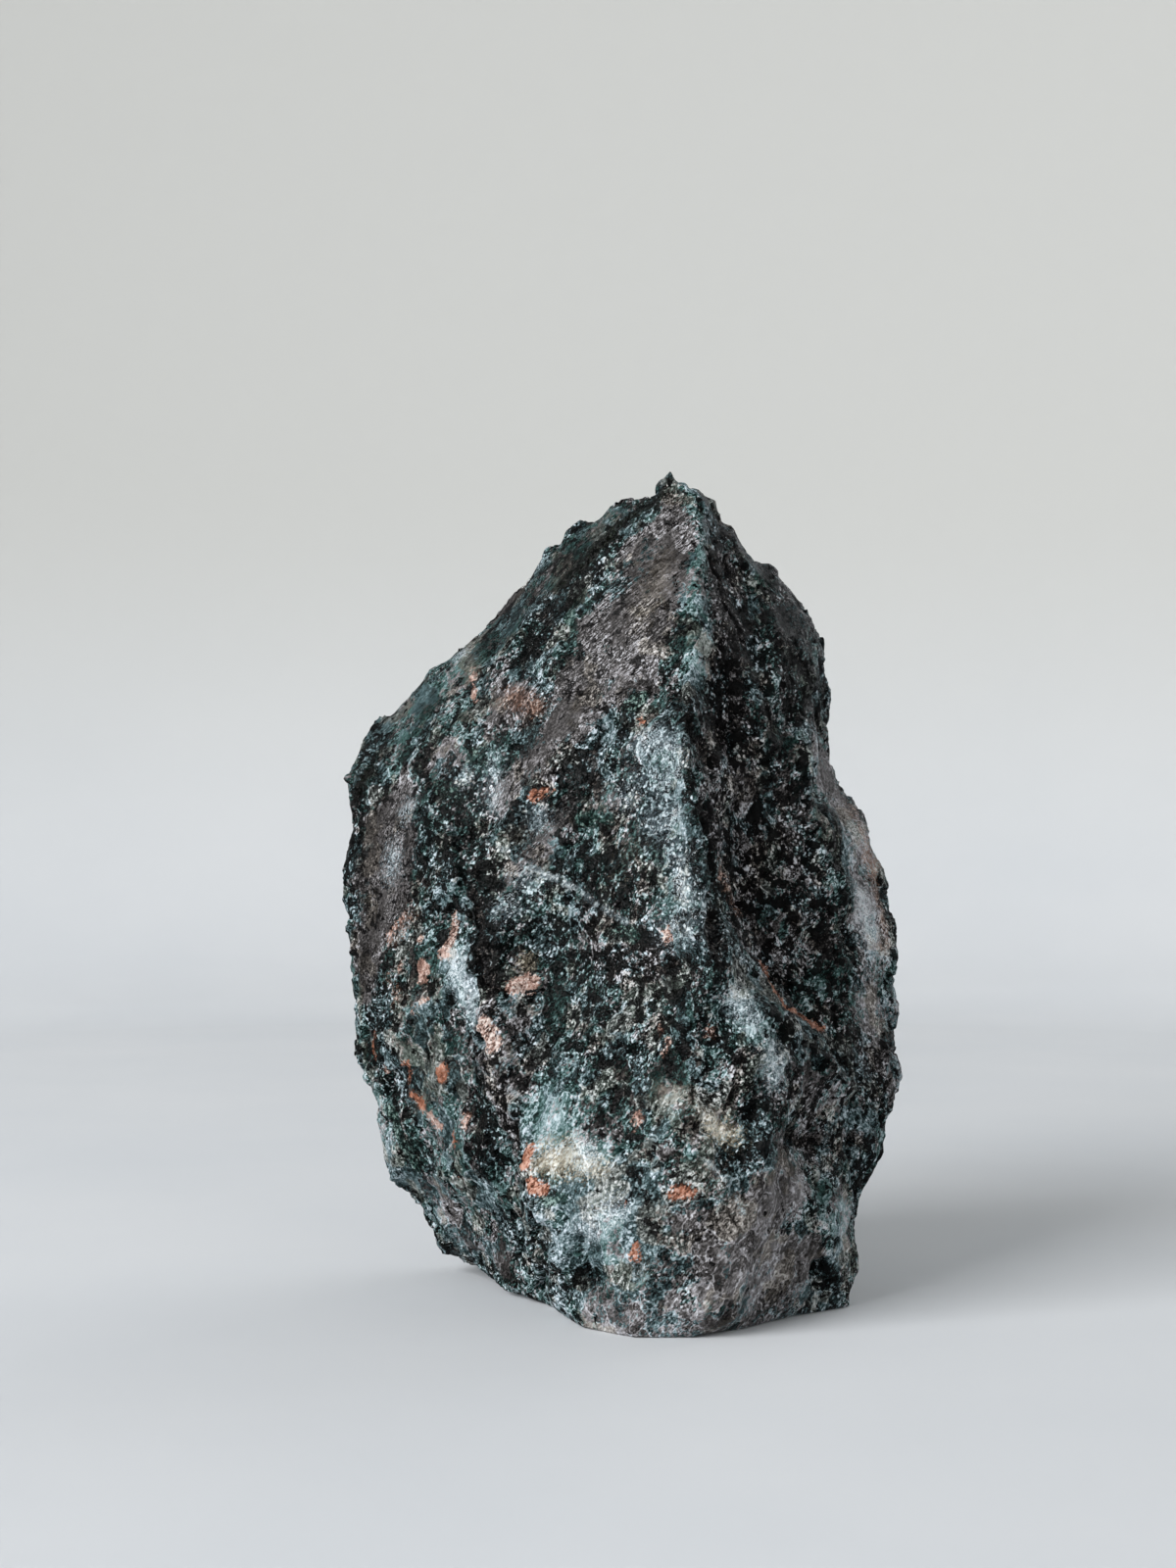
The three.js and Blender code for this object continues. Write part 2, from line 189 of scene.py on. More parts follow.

# Grains with sharp edges and soft stains, with painted shade and painted glints among them: their strokes,
# their colours from dark to pale, how far their edge spreads in millimetres, and how much of the rock they
# hide.
STAINS = {
    "moss": {
        "strokes": {
            "left of the top": [(672, 504, 7), (648, 522, 17), (620, 550, 19), (588, 580, 15),
                                (562, 602, 9)],
            "left corner": [(378, 784, 12), (366, 806, 8)],
        },
        "colours": ["#010200", "#030402", "#070a05", "#12160e", "#2c3226"],
        "edge": 1.2,
        "strength": 0.9,
    },
    "tan": {
        "strokes": {
            "upper cleavage": [(676, 575, 12), (666, 600, 16), (652, 640, 12)],
            "left of the spine": [(656, 858, 5), (640, 876, 9), (633, 890, 6)],
            "under the cleavage strip": [(526, 857, 8), (540, 850, 5)],
            "left face": [(376, 918, 7)],
            "striation": [(446, 886, 4), (434, 908, 4)],
            "over the bulge": [(670, 1112, 8), (700, 1124, 10), (722, 1144, 10), (748, 1160, 9)],
            "beside the flat grain": [(712, 1212, 7), (734, 1206, 7)],
            "slope": [(480, 655, 8), (486, 690, 7)],
            "round the orange pit": [(650, 1296, 8)],
            "foot lump": [(475, 1284, 7)],
        },
        "colours": ["#0d0b09", "#3b352e", "#6c645a", "#9a9184", "#c8c1b4"],
        "edge": 2.0,
        "strength": 0.38,
    },
    "brown": {
        "strokes": {
            "left of the salmon": [(403, 1015, 7), (398, 1000, 5)],
            "beside the hollow": [(735, 885, 7), (750, 922, 9)],
            "right rim": [(868, 822, 4), (889, 882, 6), (902, 930, 8), (902, 962, 8)],
            "under the left face": [(420, 930, 7), (398, 960, 6)],
            "mauve lens": [(520, 712, 12), (548, 722, 10)],
        },
        "colours": ["#0c0806", "#34241d", "#66493c", "#8e6f60", "#bfa697"],
        "edge": 1.5,
        "strength": 0.8,
    },
    "glass": {
        "strokes": {
            "by the glitter": [(632, 948, 9), (648, 955, 7)],
            "on the spine": [(666, 868, 8), (674, 876, 7)],
            "left of the spine": [(596, 836, 7), (622, 836, 5)],
            "by the strip": [(484, 768, 8), (492, 776, 7)],
            "below the lens": [(448, 802, 9), (470, 815, 7)],
            "slope": [(583, 620, 8), (585, 640, 6)],
            "lower left": [(398, 1128, 6), (410, 1165, 8), (424, 1190, 6)],
            "under the cream": [(560, 1225, 7), (575, 1222, 6)],
            "right shoulder": [(772, 590, 7), (786, 598, 6)],
            "under the cleavage": [(655, 712, 8), (640, 722, 6)],
            "middle": [(600, 1005, 6), (612, 1012, 6)],
        },
        "colours": ["#040907", "#0a1513", "#1b302c", "#37544e", "#80988f"],
        "edge": 0.3,
        "strength": 0.85,
    },
    # Black grains and mica, and painted shade: the strokes beside the spine, under the cleavage, in the
    # hollow and at its foot, along the shadow band, under the lump and in the right hollows paint the
    # shadows of hollows and steps.
    "black": {
        "strokes": {
            "beside the spine": [(719, 838, 5), (726, 880, 11), (728, 930, 13), (736, 980, 11)],
            "under the cleavage": [(688, 704, 5), (704, 738, 8), (724, 772, 9)],
            "right of the top": [(730, 526, 5), (744, 546, 5)],
            "upper right": [(729, 575, 5), (738, 604, 6)],
            "shoulder": [(762, 610, 4), (767, 644, 5)],
            "shoulder's middle": [(782, 628, 7)],
            "below the shoulder": [(744, 728, 7), (758, 742, 5)],
            "hollow": [(760, 792, 6), (772, 812, 6)],
            "hollow's foot": [(796, 1000, 7), (808, 1026, 8)],
            "right face": [(865, 938, 4), (867, 958, 5)],
            "right rim": [(899, 945, 3), (903, 962, 3)],
            "right face below": [(876, 990, 4), (877, 1002, 5)],
            "right face's foot": [(870, 1040, 4), (874, 1056, 4)],
            "shadow band": [(484, 890, 5), (484, 925, 8), (492, 965, 8), (501, 1010, 6), (508, 1035, 3)],
            "left of the spine": [(604, 772, 7), (608, 800, 8), (613, 815, 5)],
            "among the slope": [(554, 628, 7), (566, 640, 7)],
            "pit on the slope": [(467, 701, 4)],
            "glitter": [(640, 968, 2), (652, 986, 3)],
            "glitter's right": [(674, 990, 5), (688, 978, 2)],
            "under the glitter": [(646, 1040, 3), (662, 1070, 5)],
            "middle": [(704, 1074, 5), (714, 1085, 5)],
            "web": [(738, 1084, 6)],
            "under the big grain": [(495, 1082, 4)],
            "between the blocks": [(430, 1011, 4), (424, 1012, 3)],
            "grain by the strip": [(532, 839, 5)],
            "under the lump": [(800, 1157, 7), (828, 1165, 9), (846, 1158, 5)],
            "right hollow": [(871, 1160, 5), (869, 1176, 5)],
            "dark zone": [(806, 1112, 6), (812, 1128, 4)],
            "front": [(681, 1090, 4), (700, 1096, 4)],
        },
        "colours": ["#030202", "#050404", "#0f0d0c", "#2c2725", "#6b6561"],
        "edge": 0.5,
        "strength": 0.9,
    },
    "cream": {
        "strokes": {
            "on the bulge": [(552, 1186, 12), (580, 1182, 17), (606, 1188, 10)],
            "above the flat grain": [(729, 1150, 6), (746, 1160, 8)],
            "above the wide grain": [(536, 982, 5)],
        },
        "colours": ["#2a2620", "#807664", "#b0a692", "#ccc5b4", "#dfdacd"],
        "edge": 2.0,
        "strength": 0.75,
    },
    "vein": {
        "strokes": {
            "across the front": [(543, 885, 3.5), (579, 903, 3.5), (608, 922, 3.5), (640, 942, 3)],
            "below the left corner": [(437, 825, 2.5), (460, 845, 2.5), (495, 860, 2.5), (532, 874, 2)],
            "through the grains": [(470, 1080, 2), (500, 1096, 2), (532, 1120, 2)],
            "right of the bulge": [(716, 1180, 2), (742, 1206, 2), (760, 1240, 2)],
        },
        "colours": ["#4c565a", "#7d898d", "#a3adb0", "#bcc5c8", "#d3dadd"],
        "edge": 0.3,
        "ragged": 0.25,
        "strength": 0.8,
    },
    # Pale crystals, partly painted glints of tiny facets, with a painted highlight where the ledge's edge
    # catches the light.
    "white": {
        "strokes": {
            "top of the spine": [(650, 762, 3), (672, 752, 4), (690, 768, 4)],
            "below the top": [(684, 790, 2), (668, 806, 2)],
            "on the spine": [(640, 814, 4), (651, 798, 4)],
            "shoulder of the spine": [(661, 838, 3), (677, 844, 4), (688, 830, 2)],
            "foot of the spine": [(688, 862, 3), (694, 880, 4), (696, 897, 5), (703, 918, 4)],
            "lens at its end": [(684, 948, 5), (706, 947, 5)],
            "crystals": [(468, 984, 4), (477, 1008, 5), (486, 1034, 4)],
            "ledge": [(784, 1074, 4), (788, 1087, 7), (790, 1100, 4)],
            "above the ledge": [(752, 1018, 2), (764, 1040, 2)],
            "right face": [(878, 912, 2), (883, 936, 3), (886, 955, 1)],
            "left face": [(402, 870, 2), (399, 888, 3)],
            "left face's spot": [(416, 826, 3)],
            "dark rock": [(474, 796, 2)],
            "by the strip": [(549, 834, 3)],
            "near the band": [(518, 929, 4)],
            "by the vein": [(537, 899, 4)],
            "on the bulge": [(600, 1255, 3), (618, 1240, 5), (634, 1232, 4)],
            "over the cream": [(596, 1178, 5)],
            "slope": [(466, 666, 4)],
            "edge of the strip": [(503, 778, 2), (501, 800, 2), (503, 822, 2)],
        },
        "colours": ["#4a565c", "#9caab0", "#c8d3d9", "#e0e9ed", "#f2f6f8"],
        "edge": 2.8,
        "strength": 0.85,
    },
    "salmon": {
        "strokes": {
            "beside the left face": [(466, 934, 3), (462, 954, 7), (451, 974, 6)],
            "streak on the left face": [(415, 932, 2), (403, 945, 4), (394, 960, 3)],
            "block": [(430, 988, 8), (430, 998, 8)],
            "block below": [(424, 1029, 4), (434, 1020, 4)],
            "chip": [(409, 981, 2), (409, 989, 2)],
            "chip below": [(401, 1032, 3)],
            "small pale one": [(396, 1090, 3)],
            "small one by the left face": [(428, 958, 4)],
            "pale wedge": [(440, 1138, 4), (448, 1148, 5)],
            "pale sliver": [(477, 1139, 3), (475, 1151, 3)],
            "big grain": [(494, 1046, 8), (498, 1062, 11)],
            "wide grain": [(524, 1006, 7), (541, 1002, 10)],
            "right of the cream": [(650, 1138, 4), (647, 1147, 5)],
            "under the glitter": [(727, 1051, 4), (725, 1060, 4)],
            "under the glitter too": [(681, 1062, 3), (676, 1076, 4)],
            "small one beside it": [(671, 1050, 3)],
            "end of the spine": [(676, 950, 4), (682, 960, 3)],
            "beside the hollow": [(738, 893, 4), (746, 905, 4)],
            "on the dark band": [(563, 662, 3)],
            "on the slope": [(483, 684, 3), (484, 712, 4)],
        },
        "colours": ["#2c1c17", "#86675b", "#af9084", "#c8b0a6", "#ded0c8"],
        "edge": 0.25,
        "strength": 1.0,
    },
    "rust": {
        "strokes": {
            "left outline": [(381, 1053, 4), (379, 1067, 6), (383, 1078, 3)],
            "vein": [(416, 1085, 4), (417, 1103, 4)],
            "vein's end": [(422, 1116, 4), (429, 1128, 6)],
            "wedge": [(452, 1090, 7), (448, 1102, 6)],
            "sliver": [(463, 1158, 3.5), (465, 1172, 3)],
            "tiny sliver": [(470, 1201, 2)],
            "speck": [(633, 1229, 4)],
            "crust's start": [(774, 983, 5), (782, 990, 5)],
            "crust": [(786, 1003, 5), (801, 1026, 5), (818, 1039, 5), (838, 1049, 5)],
            "flat grain": [(688, 1218, 6), (702, 1215, 7)],
            "above a pit": [(648, 1270, 5), (647, 1284, 5)],
            "on the cleavage strip": [(546, 813, 6), (560, 806, 4)],
            "below the cream": [(544, 1209, 7), (556, 1214, 4)],
            "corner of the cream": [(541, 1174, 7), (540, 1188, 7)],
            "near the cleavage": [(654, 735, 3)],
        },
        "colours": ["#27130b", "#6b4130", "#945f48", "#b07c66", "#cda290"],
        "edge": 0.25,
        "strength": 1.0,
    },
}

# The sides that the photograph doesn't show carry the same rock: each cell of a wide grid may hold a patch
# of one stain. For each stain: its share of the cells, and the patch's mean radius in millimetres.
SCATTER_SIZE = 6.8
SCATTER_SEED = 61
SCATTERED = {
    "tan": (0.1, 2.8),
    "glass": (0.14, 1.5),
    "black": (0.14, 1.4),
    "cream": (0.04, 2.4),
    "white": (0.12, 1.3),
    "salmon": (0.17, 1.2),
    "rust": (0.1, 0.9),
}
SCATTER_MARGIN = 6.0  # how far the patches draw back from the sides that the photograph shows
UNSEEN_SMOOTHING = 0.2  # how much the cleavage faces there are smoothed, against those in front
UNSEEN_STEP = {"pitch": 10.5, "height": 0.8, "across": (-0.45, 0.3, 0.84), "seed": 71}

# The rock's pattern. Sizes are in millimetres, and slim is how much a mark's length is shortened to look it
# up, so that a round mark becomes a long one.
LEANS = {"left": -28, "right": 38}  # degrees from upright
LEAN_RAGGEDNESS = 2
LEAN_SPREAD = 14.0  # how far the crystals shift the border between the two leans
STRIAE_LEAN = 54  # degrees from upright
SWIRL = {"size": 3.6, "reach": 5.0, "detail": 3.0}  # bends the crystals' outlines
BEND = {"size": 1.1, "reach": 1.4, "detail": 2.0}  # bends the flakes and the ragged patches
CRYSTAL_SIZE = 4.4
CRYSTAL_SLIM = 0.7
FLAKE_SIZE = 1.6
FLAKE_SLIM = 0.5
FLAKE_STEEPNESS = 0.5
CHIP_SIZE = 0.33
CHIP_SLIM = 0.75
CHIP_STEEPNESS = 0.8
NEEDLES = {"size": 0.25, "detail": 2.0, "roughness": 0.6}
NEEDLE_SLIM = 0.36
NEEDLE_HEIGHT = 0.25
BANDS = {"size": 0.85, "detail": 3.0, "roughness": 0.6}
BAND_SLIM = 0.2
STRIAE = {"size": 0.26, "detail": 2.0, "roughness": 0.6}
STRIA_SLIM = 0.2
GRIT = {"size": 0.23, "detail": 1.0, "roughness": 0.6}
GRIT_HEIGHT = 0.12
PATCHES = {"size": 3.2, "detail": 4.0, "roughness": 0.6}
GLASS = {"size": 2.4, "detail": 4.0, "roughness": 0.55}
CRUST = {"size": 1.4, "detail": 3.0, "roughness": 0.55}
SPOTS = {"size": 1.9, "detail": 5.0, "roughness": 0.62}
SPOT_DEPTH = 0.2
CLEAVAGE_FLATNESS = 0.35
EARTH = {"size": 5.0, "detail": 4.0}
OPEN_SEAMS = {"size": 2.1}
SEAMS = {"crystal edge": (0.022, 0.4), "flake edge": (0.05, 0.34)}  # half width, and how pale the seam is
SEAM_FADE = 1.6  # how many half widths out a seam ends

# Where each share starts, and where it is whole.
SHARES = {
    "specks": (0.45, 0.55),
    "glass": (0.46, 0.45),
    "crust": (0.55, 0.56),
    "open seams": (0.47, 0.53),
    "striated crystal": (0.26, 0.25),
    # gap: where the painted shade in the gaps between flakes begins and where it is whole.
    "gap": (0.09, 0.01),
    "frosted zone": (0.45, 0.85),
    "frost": (0.52, 0.58),
    "spots": (0.385, 0.37),
    "teal": (0.4, 0.46),
    "mauve": (0.42, 0.5),
    "earthy": (0.54, 0.6),
    "pale": (0.1, 0.5),
}

# How much each mark lights the rock, from black at 0 to white at 1.
FINE_MARKS = {"needles": 1.8, "specks": 0.34, "chips": 0.95, "striae": 2.1}
BROAD_MARKS = {"flake tone": 0.14, "crystal tone": 0.4, "patches": 0.25, "bands": 0.45}
PATCH_MARKS = {"glass": -0.1, "crust": 0.08}
# The skin's marks: the painted relief shade lightens raised places and darkens hollows by their height.
SKIN_MARKS = {"zone": 0.8, "painted relief shade": 0.2, "block": 0.12, "gap": -0.16, "frost": 0.22}
CHIP_RARITY = 3.0  # the more, the fewer chips are bright
CHIP_MIDDLE = 0.25
LEAST_CONTRAST = 0.33
CONTRAST_RANGE = 1.15  # from one crystal to another
CLEAVAGE_EVENNESS = 0.7
GLASS_EVENNESS = 0.4
BROKEN_SHARE = 0.6  # of the broad marks, which unbroken rock lacks
MEAN_LIGHT = 0.585
EXPOSURE = 0.7
SPOT_DARKNESS = 0.85
# The painted relief shade darkens hollows only down to this height: deeper hollows get no darker.
DEEPEST_SHADE = -0.6  # deeper hollows are not darker

# How much the marks vary the colours' shares, a stain's border, the flecks that it frays out in and the
# places of the black spots.
TEAL_MARKS = {"flake hue": 0.5}
MAUVE_MARKS = {"flake hue": 0.6, "crystal hue": 0.6, "chip gloss": 0.5}
EARTHY_MARKS = {"crystal tone": 0.1}
EARTHY_STRENGTH = 0.5
BORDER_MARKS = {"flake offset": 0.7, "chip offset": 0.5}
FRAY_MARKS = {"patches": 1.0, "specks": 0.9, "needles": 3.0}
SPOT_MARKS = {"light": 0.2, "broken": -0.05, "crisp": -0.1}
STAIN_SOFTNESS = 0.45  # how far its border fades each way, against the stain's own edge

APATITE_IOR = 1.63
SPECULAR_LEVEL = 0.11
GLASSY_ROUGHNESS = 0.12
ROUGHNESS_MARKS = {"chip gloss": 0.16, "pale": 0.4}

# The rock's colours from dark to pale, each with the brightness at which it stands.
GREEN = [(0.0, "#020303"), (0.13, "#080d0d"), (0.28, "#1c2a2b"), (0.42, "#43585b"), (0.56, "#74878b"),
         (0.75, "#a4b2b9"), (1.0, "#cdd7df")]
TEAL = [(0.0, "#020404"), (0.15, "#06110f"), (0.3, "#162e2b"), (0.46, "#44625f"), (0.66, "#879da0"),
        (1.0, "#c5d2d8")]
MAUVE = [(0.0, "#040303"), (0.12, "#110f0f"), (0.28, "#33302f"), (0.42, "#5d5a5a"), (0.58, "#8a8789"),
         (0.78, "#afaeb2"), (1.0, "#cecfd5")]
EARTHY = [(0.0, "#040302"), (0.14, "#13100c"), (0.3, "#36312a"), (0.46, "#675f54"), (0.66, "#a0988b"),
          (1.0, "#d3cdc3")]
STAIN_LEVELS = (0.05, 0.22, 0.38, 0.54, 0.8)  # how bright the rock is where a stain has each of its colours

# Cracks, pits and steps: a stroke, and how deep it goes.
CUTS = {
    "foot crack": ([(522, 1240, 3), (535, 1262, 5), (550, 1282, 5), (550, 1318, 4)], 2.4),
    "groove beside it": ([(590, 1265, 3), (600, 1310, 4)], 1.2),
    "crack above the foot": ([(549, 1243, 2.5), (545, 1262, 2.5)], 1.4),
    "orange pit": ([(649, 1294, 4), (648, 1304, 3)], 1.6),
    "ring pit": ([(680, 1280, 5)], 0.9),
    "small pit": ([(688, 1246, 3)], 0.9),
    "pit near the foot": ([(704, 1299, 3)], 0.8),
    "hole": ([(831, 1298, 3.5), (835, 1294, 3)], 1.6),
    "hollow under the lump": ([(800, 1157, 8), (828, 1165, 9)], 1.2),
    "right hollow": ([(871, 1160, 6), (869, 1175, 6)], 1.4),
    "upper right hollow": ([(862, 938, 5), (870, 964, 4)], 1.2),
    "hole at the spine": ([(690, 703, 6)], 1.4),
    "step under the cleavage": ([(686, 694, 4), (645, 702, 4), (602, 736, 3)], 1.0),
    "shadow band": ([(487, 895, 4), (487, 950, 6), (496, 1000, 5)], 0.5),
    "band beside the spine": ([(719, 838, 6), (725, 880, 11), (728, 930, 12), (735, 980, 9)], 1.4),
    "step's shadow": ([(690, 706, 5), (706, 740, 7), (726, 774, 8)], 0.9),
    "right face's hole": ([(876, 988, 4), (877, 1002, 4)], 1.0),
    "over the crust": ([(790, 992, 5), (806, 1010, 7), (824, 1032, 6)], 1.2),
    "line over the cream": ([(696, 1106, 2), (714, 1118, 2.5), (747, 1150, 2)], 0.8),
    "black grain": ([(532, 838, 5)], 0.6),
    "corner pits": ([(376, 782, 4), (386, 796, 4)], 0.8),
    "corner pit": ([(364, 808, 4)], 0.7),
}

RIDGES = {
    "crest of the spine": ([(709, 510, 2), (712, 569, 2), (714, 622, 2), (711, 687, 2)], 0.6),
    "lower crest": ([(697, 765, 2), (700, 830, 2), (711, 874, 2), (711, 918, 2), (710, 954, 2)], 0.9),
    "crest of the ledge": ([(742, 990, 2), (786, 1032, 2), (838, 1062, 2)], 0.7),
    "lit edge of the ledge": ([(748, 1004, 3), (794, 1084, 3)], 0.5),
    "beside the shadow band": ([(462, 890, 2), (470, 975, 2), (480, 1040, 2)], 0.4),
    "long band": ([(512, 899, 2), (560, 860, 2), (623, 813, 2)], 0.7),
    "white knob": ([(784, 1068, 3), (790, 1098, 3)], 0.8),
    "left edge of the bulge": ([(528, 1130, 3), (540, 1190, 3), (560, 1240, 3)], 0.8),
    "under the cleavage": ([(684, 690, 2), (642, 698, 2), (598, 732, 2)], 0.6),
}

# Numbers that look random but are the same each run

def lattice_random(cells, seed):
    """One even random number from 0 to 1 for each whole-numbered cell (..., 3)."""
    mixed = cells @ np.array([374761393, 668265263, 2147483647]) + seed * 1274126177
    mixed = (mixed ^ (mixed >> 13)) * 1103515245 & 0xFFFFFFFF
    mixed = (mixed ^ (mixed >> 16)) * 69069 & 0xFFFFFFFF
    return (mixed ^ (mixed >> 15)) / 0xFFFFFFFF


def smooth_step(value, low, high):
    t = np.clip((value - low) / (high - low), 0, 1)
    return t * t * (3 - 2 * t)


def value_noise(points, size, seed):
    """Soft noise from -1 to 1, with swellings about as large as size."""
    scaled = points / size
    base = np.floor(scaled).astype(np.int64)
    t = smooth_step(scaled - base, 0, 1)
    total = np.zeros(len(points))
    for corner in np.ndindex(2, 2, 2):
        weight = np.prod(np.where(corner, t, 1 - t), axis=1)
        total += weight * lattice_random(base + corner, seed)
    return 2 * total - 1


def layered_noise(points, layers, start=0):
    """The start, and layers of soft noise with their sizes, heights and seeds, added up."""
    for size, height, seed in layers:
        start = start + height * value_noise(points, size, seed)
    return start


def soft_patches(points, size, seed, low, high):
    """Patches that run from 0 to 1 where their noise rises from low to high."""
    return smooth_step(value_noise(points, size, seed), low, high)


def nearest_cells(points, size, seed):
    """The places of the scattered middles round each point, one neighbouring cell at a time."""
    base = np.floor(points / size).astype(np.int64)
    for step in np.ndindex(3, 3, 3):
        cells = base + step - 1
        jitter = [lattice_random(cells, seed + axis) for axis in (101, 102, 103)]
        yield cells, (cells + np.stack(jitter, axis=1)) * size


def along_grain(points):
    """The points with their distances along the grain shortened, in which round crystals are long ones."""
    grain = GRAIN / np.linalg.norm(GRAIN)
    reach, size = GRAIN_BEND["reach"], GRAIN_BEND["size"]
    bend = [reach * value_noise(points, size, seed) for seed in GRAIN_BEND["seeds"]]
    return points - np.outer(points @ grain, grain) * GRAIN_STRETCH + np.stack(bend, axis=1)


def flakes(points, size, slope, scoop, seed):
    """Height of scooped flakes that each lie at their own slope."""
    lowest = np.full(len(points), np.inf)
    for cells, middles in nearest_cells(points, size, seed):
        away = points - middles
        lean = [lattice_random(cells, seed + axis) - 0.5 for axis in (201, 202, 203)]
        height = 2 * slope * np.sum(away * np.stack(lean, axis=1), axis=1)
        lowest = np.minimum(lowest, height + scoop * np.sum(away * away, axis=1))
    return lowest - lowest.mean()


def blocks(points, size, height, gap, gap_depth, seed):
    """Height of crystals that broke off at different levels, with narrow gaps, and a tone for each."""
    first = np.full(len(points), np.inf)
    second = np.full(len(points), np.inf)
    level = np.zeros(len(points))
    for cells, middles in nearest_cells(points, size, seed):
        distance = np.linalg.norm(points - middles, axis=1)
        nearer = distance < first
        second = np.where(nearer, first, np.minimum(second, distance))
        level = np.where(nearer, lattice_random(cells, seed + 301), level)
        first = np.minimum(first, distance)
    inside = smooth_step(second - first, 0, gap)
    return height * (2 * level - 1) * inside - gap_depth * (1 - inside), level


def pits(points, size, share, radius, depth, seed):
    """Depth of small round pits scattered through the rock, in a share of the cells."""
    deepest = np.zeros(len(points))
    for cells, middles in nearest_cells(points, size, seed):
        present = lattice_random(cells, seed + 401) < share
        distance = np.linalg.norm(points - middles, axis=1)
        deepest = np.maximum(deepest, present * depth * (1 - smooth_step(distance, 0, radius)))
    return deepest


# The photograph's strokes on the stone

def stone_tree(node):
    points = [vertex.co / METRES for vertex in node.data.vertices]
    faces = [tuple(polygon.vertices) for polygon in node.data.polygons]
    return BVHTree.FromPolygons(points, faces)


def under_pixel(tree, x, y):
    """Where a pixel of the photograph falls on the stone, and how many millimetres one pixel covers."""
    ray = Vector(((x - PHOTO_WIDTH / 2) / FOCAL_PIXELS, 1, (PHOTO_HEIGHT / 2 - y) / FOCAL_PIXELS))
    hit = tree.ray_cast(Vector(EYE), ray.normalized())[0]
    if hit is None:
        raise ValueError(f"pixel {x}, {y} is beside the stone")
    return np.array(hit), (hit.y - EYE[1]) / FOCAL_PIXELS


def stroke_distance(points, tree, stroke):
    """How far each point is outside a stroke, in millimetres, and less than zero inside it."""
    spots = []
    for x, y, width in stroke:
        middle, pixel = under_pixel(tree, x, y)
        spots.append((middle, pixel * width))
    nearest = np.full(len(points), np.inf)
    for (start, first), (end, last) in zip(spots, spots[1:] or spots):
        line = end - start
        along = np.clip((points - start) @ line / max(line @ line, 1e-9), 0, 1)
        radius = first + along * (last - first)
        distance = np.linalg.norm(points - start - along[:, None] * line, axis=1) - radius
        nearest = np.minimum(nearest, distance)
    return nearest


def nearest_stroke(points, tree, strokes):
    return np.min([stroke_distance(points, tree, stroke) for stroke in strokes.values()], axis=0)


# The skin

def split_edges(points, faces):
    """Each triangle becomes four, with new points in the middles of its sides."""
    sides = np.sort(faces[:, [[0, 1], [1, 2], [2, 0]]].reshape(-1, 2), axis=1)
    edges, number = np.unique(sides, axis=0, return_inverse=True)
    a, b, c = faces.T
    ab, bc, ca = (number.reshape(-1, 3) + len(points)).T
    corners = [(a, ab, ca), (ab, b, bc), (ca, bc, c), (ab, bc, ca)]
    points = np.concatenate([points, points[edges].mean(axis=1)])
    return points, np.concatenate([np.stack(corner, axis=1) for corner in corners])


def edges_of(faces):
    sides = np.sort(faces[:, [[0, 1], [1, 2], [2, 0]]].reshape(-1, 2), axis=1)
    return np.unique(sides, axis=0)


def neighbour_mean(values, edges, count):
    """The mean of each point's neighbours."""
    starts = np.concatenate([edges[:, 0], edges[:, 1]])
    ends = np.concatenate([edges[:, 1], edges[:, 0]])
    amount = np.bincount(starts, minlength=count)
    sums = [np.bincount(starts, column[ends], minlength=count) / amount for column in values.T]
    return np.stack(sums, axis=1)


def smoothed(points, edges, passes, share=None):
    for _ in range(passes):
        step = neighbour_mean(points, edges, len(points)) - points
        points = points + 0.5 * (step if share is None else step * share[:, None])
    return points


def normals_of(points, faces):
    a, b, c = (points[faces[:, corner]] for corner in range(3))
    flat = np.cross(b - a, c - a)
    total = np.zeros_like(points)
    for corner in range(3):
        for axis in range(3):
            total[:, axis] += np.bincount(faces[:, corner], flat[:, axis], minlength=len(points))
    return total / np.maximum(np.linalg.norm(total, axis=1), 1e-12)[:, None]


def ledges(points, pitch, height, across, seed):
    """Slanted steps that follow each other across the rock, each steep on one side."""
    across = np.array(across) / np.linalg.norm(across)
    waves = [(size, reach, seed + number) for number, (size, reach) in enumerate(LEDGE_WAVES)]
    bent = layered_noise(points, waves, points @ across)
    phase = bent / pitch
    tooth = phase - np.floor(phase)
    strength = soft_patches(points, LEDGE_LENGTH * pitch, seed + 2, -0.3, 0.4)
    return height * strength * (tooth * (1 - smooth_step(tooth, LEDGE_BREAK, 1)) - LEDGE_MIDDLE)


def striations(points):
    """Height of the fine parallel lines on the cleavage faces."""
    bent = layered_noise(points, STRIATION_BENDS, points @ STRIATION_ACROSS)
    height = STRIATION_HEIGHT * np.sin(2 * math.pi * bent / STRIATION_PITCH)
    return height * value_noise(points, *STRIATION_FADE)


def broken_relief(points, cleavage, broken):
    """Height of the fine relief, with the blocks' tone."""
    grained = along_grain(points)
    rough = sum(flakes(grained, **layer) for layer in FLAKES) + ledges(points, **LEDGES)
    rough = rough - pits(points, **PIT)
    layers = [blocks(grained, **layer) for layer in BLOCKS]
    rough = rough + sum(height for height, _ in layers)
    swell = SWELL["height"] * value_noise(points, SWELL["size"], SWELL["seed"])
    height = rough * broken * (1 - (1 - SMOOTH_RELIEF) * cleavage) + swell * (1 - cleavage)
    tone = np.mean([level for _, level in layers], axis=0)
    return height + cleavage * striations(points), tone


def stroke_relief(points, tree, strokes, border):
    """The highest of the strokes' heights, which fall off round each stroke's edge."""
    heights = []
    for stroke, height in strokes.values():
        distance = stroke_distance(points, tree, stroke)
        heights.append(height * (1 - smooth_step(distance, *border)))
    return np.max(heights, axis=0)


